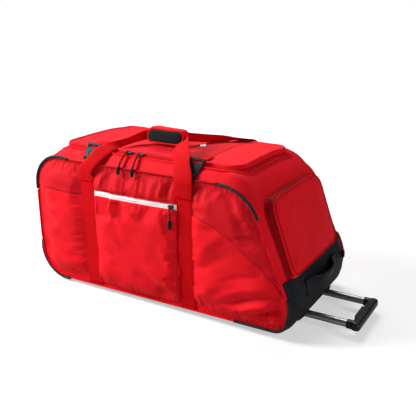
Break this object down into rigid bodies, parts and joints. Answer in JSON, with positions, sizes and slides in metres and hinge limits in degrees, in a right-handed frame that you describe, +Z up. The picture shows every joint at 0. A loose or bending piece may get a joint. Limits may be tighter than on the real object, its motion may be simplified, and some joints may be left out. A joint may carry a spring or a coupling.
{
  "type": "rolling duffel bag",
  "caption": "Wheeled duffel bag with a zipped lid, webbing handles joined by a wrap, side and end pockets, and a pull-out trolley handle at one end.",
  "frame": {"origin": "on the ground, under the middle of the overall box at rest", "axes": "+X towards the trolley handle, -Y towards the front pocket, +Z up"},
  "size_m": [0.944, 0.3998, 0.4555],
  "materials": {
    "red_fabric": "woven polyester, red, with a padded back",
    "red_webbing": "woven polyester webbing, deep red",
    "red_piping": "woven tape over a round cord, red",
    "black_fabric": "coarse woven nylon, black",
    "zipper_red": "coil zipper tape, red",
    "zipper_white": "coil zipper tape, white",
    "cord_pull": "moulded rubber tip on a thin red and black cord",
    "slider_metal": "die-cast, black painted",
    "black_plastic": "moulded, fine grain",
    "buckle_plastic": "moulded acetal, slight gloss",
    "grip_plastic": "moulded, satin",
    "grip_button": "moulded, dark grey",
    "board_plastic": "flat polyethylene sheet",
    "foam": "closed-cell foam strip",
    "inner_plastic": "moulded nylon",
    "tube_aluminium": "brushed and anodised",
    "steel": "zinc plated",
    "wheel_rubber": "moulded urethane, black",
    "hub_plastic": "moulded nylon"
  },
  "bodies": {
    "bag": {"base_board": "board_plastic", "buckle_socket_left": "buckle_plastic", "buckle_socket_right": "buckle_plastic", "end_base_panel": "black_fabric", "end_grab_handle": "black_fabric", "end_pocket": "red_fabric", "floor_board": "board_plastic", "floor_rails": "foam", "foot_screws": "steel", "front_piping": "red_piping", "front_pocket": "red_fabric", "front_strap_left": "red_webbing", "front_strap_right": "red_webbing", "front_zipper_tape": "zipper_white", "guide_bushes": "inner_plastic", "guide_tubes": "tube_aluminium", "lid_hinge_strip": "zipper_red", "main_shell": "red_fabric", "rear_piping": "red_piping", "rear_straps": "red_webbing", "rim_zipper_tape": "zipper_red", "skid_foot_front": "black_plastic", "skid_foot_rear": "black_plastic", "trolley_bezel": "black_plastic", "tube_bracket": "inner_plastic", "wheel_axles": "steel", "wheel_housing_front": "black_plastic", "wheel_housing_rear": "black_plastic"},
    "lid": {"lid_panel": "red_fabric", "lid_zipper_tape": "zipper_red", "lid_tabs": "red_webbing", "buckle_left": "buckle_plastic", "buckle_right": "buckle_plastic"},
    "front_handle": {"front_handle": "red_webbing", "handle_wrap": "black_fabric"},
    "rear_handle": {"rear_handle": "red_webbing"},
    "lid_slider_left": {"lid_slider_left": "slider_metal"},
    "lid_slider_right": {"lid_slider_right": "slider_metal"},
    "lid_pull_left": {"lid_pull_left": "cord_pull"},
    "lid_pull_right": {"lid_pull_right": "cord_pull"},
    "pocket_slider": {"pocket_slider": "slider_metal"},
    "pocket_pull": {"pocket_pull": "cord_pull"},
    "end_slider": {"end_slider": "slider_metal"},
    "end_pull": {"end_pull": "cord_pull"},
    "trolley": {"inner_tube_front": "tube_aluminium", "inner_tube_rear": "tube_aluminium", "latch_blocks": "inner_plastic", "grip_upper": "grip_plastic", "grip_lower": "grip_plastic"},
    "button": {"grip_button": "grip_button", "button_yoke": "inner_plastic", "pull_rods": "steel"},
    "latch_pin_front": {"latch_pin_front": "steel"},
    "latch_pin_rear": {"latch_pin_rear": "steel"},
    "wheel_front": {"wheel_tyre_front": "wheel_rubber", "wheel_hub_front": "hub_plastic", "wheel_bearings_front": "steel"},
    "wheel_rear": {"wheel_tyre_rear": "wheel_rubber", "wheel_hub_rear": "hub_plastic", "wheel_bearings_rear": "steel"}
  },
  "joints": [
    {"name": "lid_hinge", "type": "hinge", "parent": "bag", "child": "lid", "pos_m": [0, 0.163, 0.407], "axis": [-1, 0, 0], "range_deg": [0, 48]},
    {"name": "front_handle_swing", "type": "hinge", "parent": "bag", "child": "front_handle", "pos_m": [0, -0.1955, 0.346], "axis": [1, 0, 0], "range_deg": [0, 173]},
    {"name": "rear_handle_swing", "type": "hinge", "parent": "bag", "child": "rear_handle", "pos_m": [0, 0.1955, 0.346], "axis": [-1, 0, 0], "range_deg": [0, 173]},
    {"name": "lid_slider_left_slide", "type": "slide", "parent": "bag", "child": "lid_slider_left", "axis": [1, 0, 0], "range_m": [-0.045, 0]},
    {"name": "lid_slider_right_slide", "type": "slide", "parent": "bag", "child": "lid_slider_right", "axis": [1, 0, 0], "range_m": [0, 0.1]},
    {"name": "lid_pull_left_swing", "type": "hinge", "parent": "lid_slider_left", "child": "lid_pull_left", "pos_m": [-0.16, -0.1635, 0.4115], "axis": [-1, 0, 0], "range_deg": [0, 100]},
    {"name": "lid_pull_right_swing", "type": "hinge", "parent": "lid_slider_right", "child": "lid_pull_right", "pos_m": [-0.118, -0.1635, 0.4115], "axis": [-1, 0, 0], "range_deg": [0, 100]},
    {"name": "pocket_slider_slide", "type": "slide", "parent": "bag", "child": "pocket_slider", "axis": [1, 0, 0], "range_m": [-0.22, 0]},
    {"name": "pocket_pull_swing", "type": "hinge", "parent": "pocket_slider", "child": "pocket_pull", "pos_m": [0, -0.1969, 0.2875], "axis": [-1, 0, 0], "range_deg": [0, 120]},
    {"name": "end_slider_slide", "type": "slide", "parent": "bag", "child": "end_slider", "axis": [-0.4051, 0, 0.9143], "range_m": [0, 0.12]},
    {"name": "end_pull_swing", "type": "hinge", "parent": "end_slider", "child": "end_pull", "pos_m": [0.31847, 0.155, 0.17243], "axis": [0, -1, 0], "range_deg": [0, 100]},
    {"name": "trolley_slide", "type": "slide", "parent": "bag", "child": "trolley", "axis": [1, 0, 0], "range_m": [-0.105, 0.3]},
    {"name": "button_press", "type": "slide", "parent": "trolley", "child": "button", "axis": [1, 0, 0], "range_m": [0, 0.005], "stiffness_N_per_m": 600},
    {"name": "latch_pin_front_slide", "type": "slide", "parent": "trolley", "child": "latch_pin_front", "axis": [0, 1, 0], "range_m": [0, 0.003]},
    {"name": "latch_pin_rear_slide", "type": "slide", "parent": "trolley", "child": "latch_pin_rear", "axis": [0, -1, 0], "range_m": [0, 0.003]},
    {"name": "wheel_front_spin", "type": "hinge", "parent": "bag", "child": "wheel_front", "pos_m": [-0.434, -0.136, 0.036], "axis": [0, 1, 0], "continuous": true},
    {"name": "wheel_rear_spin", "type": "hinge", "parent": "bag", "child": "wheel_rear", "pos_m": [-0.434, 0.136, 0.036], "axis": [0, 1, 0], "continuous": true}
  ],
  "couplings": [
    {"joint": "front_handle_swing", "follows": "lid_hinge", "ratio": 3.6},
    {"joint": "rear_handle_swing", "follows": "lid_hinge", "ratio": 3.6},
    {"joint": "latch_pin_front_slide", "follows": "button_press", "ratio": 0.6},
    {"joint": "latch_pin_rear_slide", "follows": "button_press", "ratio": 0.6}
  ]
}
